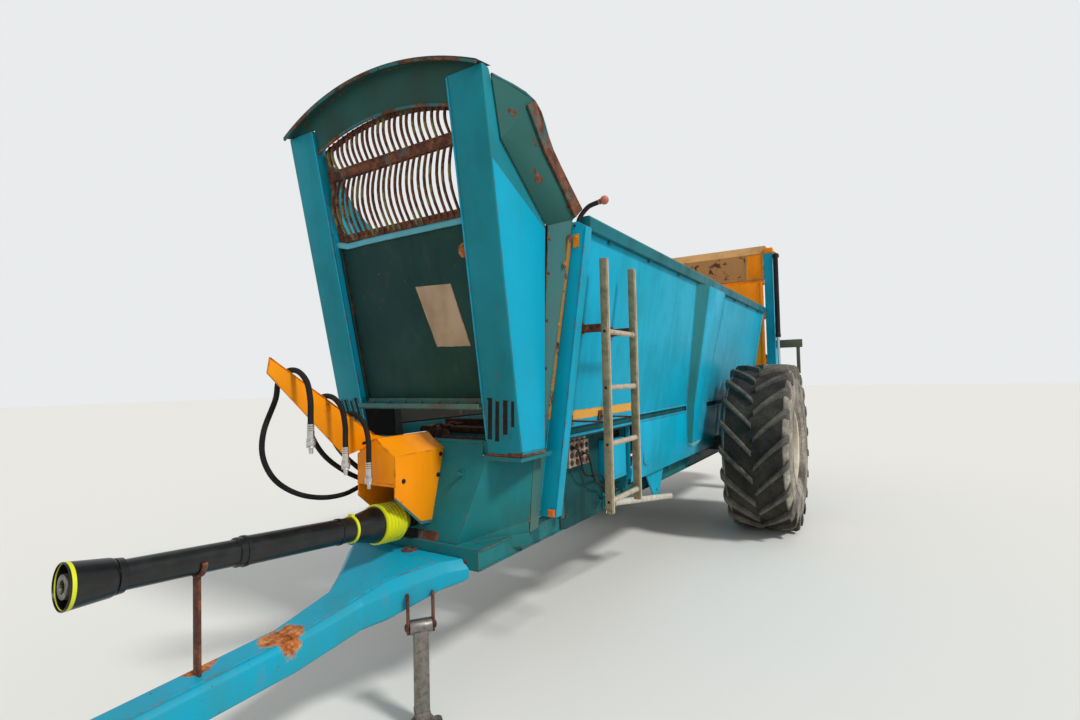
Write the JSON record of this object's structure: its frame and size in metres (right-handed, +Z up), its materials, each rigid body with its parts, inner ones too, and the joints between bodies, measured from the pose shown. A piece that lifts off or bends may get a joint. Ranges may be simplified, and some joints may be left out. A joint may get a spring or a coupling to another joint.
{
  "type": "manure spreader",
  "caption": "Towed rear-discharge manure spreader: sloping tub on big tyres, leaning front columns with grille, floor chain, lifting rear door and upright beaters.",
  "frame": {"origin": "on the ground under the middle of the machine's overall box", "axes": "-Y to the towing ring, +Y to the beaters, +X to the machine's left side with the ladder, +Z up"},
  "size_m": [2.687, 8.32, 3.17],
  "materials": {
    "black_paint": "satin black paint",
    "black_plastic": "moulded guard tube",
    "hose_rubber": "ribbed hose",
    "ladder_zinc": "weathered zinc coat",
    "paint_orange": "gloss paint",
    "paint_teal": "weathered gloss paint",
    "paint_teal_dull": "chalked paint with rust at edges",
    "rim_paint": "dirty cream paint",
    "rod_chrome": "plated rod",
    "rust_sheet": "rusty sheet with paint remains",
    "steel_dark": "dark greasy steel",
    "steel_worn": "worn bare steel",
    "tyre_rubber": "dusty tread rubber"
  },
  "bodies": {
    "chassis": {"sills": "paint_teal_dull", "cross_frames": "paint_teal_dull", "front_apron": "paint_teal_dull", "drawbar": "paint_teal", "towing_ring": "steel_dark", "jack_bracket": "rust_sheet", "tub_floor": "rust_sheet", "left_wall": "paint_teal", "right_wall": "paint_teal", "front_posts": "paint_teal", "left_column": "paint_teal", "right_column": "paint_teal", "front_wall": "paint_teal_dull", "crossbar": "paint_teal", "front_grille": "rust_sheet", "front_hood": "paint_teal_dull", "left_wing": "rust_sheet", "right_wing": "rust_sheet", "floor_chain": "rust_sheet", "chain_shafts": "rust_sheet", "axle": "steel_dark", "rear_frame": "paint_teal", "rear_hood": "paint_orange", "beater_gearboxes": "steel_dark", "door_barrels": "black_paint", "rear_lamps": "rust_sheet", "pto_guard": "paint_orange", "pto_gearbox": "steel_dark", "pto_shaft": "black_plastic", "pto_rest": "rust_sheet", "hose_arm": "paint_orange", "hose_a": "hose_rubber", "hose_b": "hose_rubber", "hose_c": "hose_rubber", "hose_couplers": "steel_worn", "ladder": "ladder_zinc", "valve_block": "steel_worn"},
    "wheel_left": {"tyre_left": "tyre_rubber", "rim_left": "rim_paint"},
    "wheel_right": {"tyre_right": "tyre_rubber", "rim_right": "rim_paint"},
    "beater_left_rotor": {"beater_left": "paint_orange"},
    "beater_right_rotor": {"beater_right": "paint_orange"},
    "door": {"rear_door": "paint_orange", "door_rods": "rod_chrome"},
    "parking_leg": {"jack_leg": "steel_worn"}
  },
  "joints": [
    {"name": "wheel_left_spin", "type": "hinge", "parent": "chassis", "child": "wheel_left", "pos_m": [1.05, 1.54, 0.8025], "axis": [1, 0, 0], "continuous": true},
    {"name": "wheel_right_spin", "type": "hinge", "parent": "chassis", "child": "wheel_right", "pos_m": [-1.05, 1.54, 0.8025], "axis": [1, 0, 0], "continuous": true},
    {"name": "beater_left_spin", "type": "hinge", "parent": "chassis", "child": "beater_left_rotor", "pos_m": [0.415, 3.735, 1.5], "axis": [0, 0, 1], "continuous": true},
    {"name": "beater_right_spin", "type": "hinge", "parent": "chassis", "child": "beater_right_rotor", "pos_m": [-0.415, 3.735, 1.5], "axis": [0, 0, 1], "continuous": true},
    {"name": "door_lift", "type": "slide", "parent": "chassis", "child": "door", "axis": [0, 0, 1], "range_m": [0, 0.85]},
    {"name": "leg_fold", "type": "hinge", "parent": "chassis", "child": "parking_leg", "pos_m": [0.27203, -2.48546, 0.44], "axis": [0.6182, 0.786, 0], "range_deg": [0, 90]}
  ],
  "couplings": [
    {"joint": "beater_right_spin", "follows": "beater_left_spin", "ratio": -1}
  ]
}
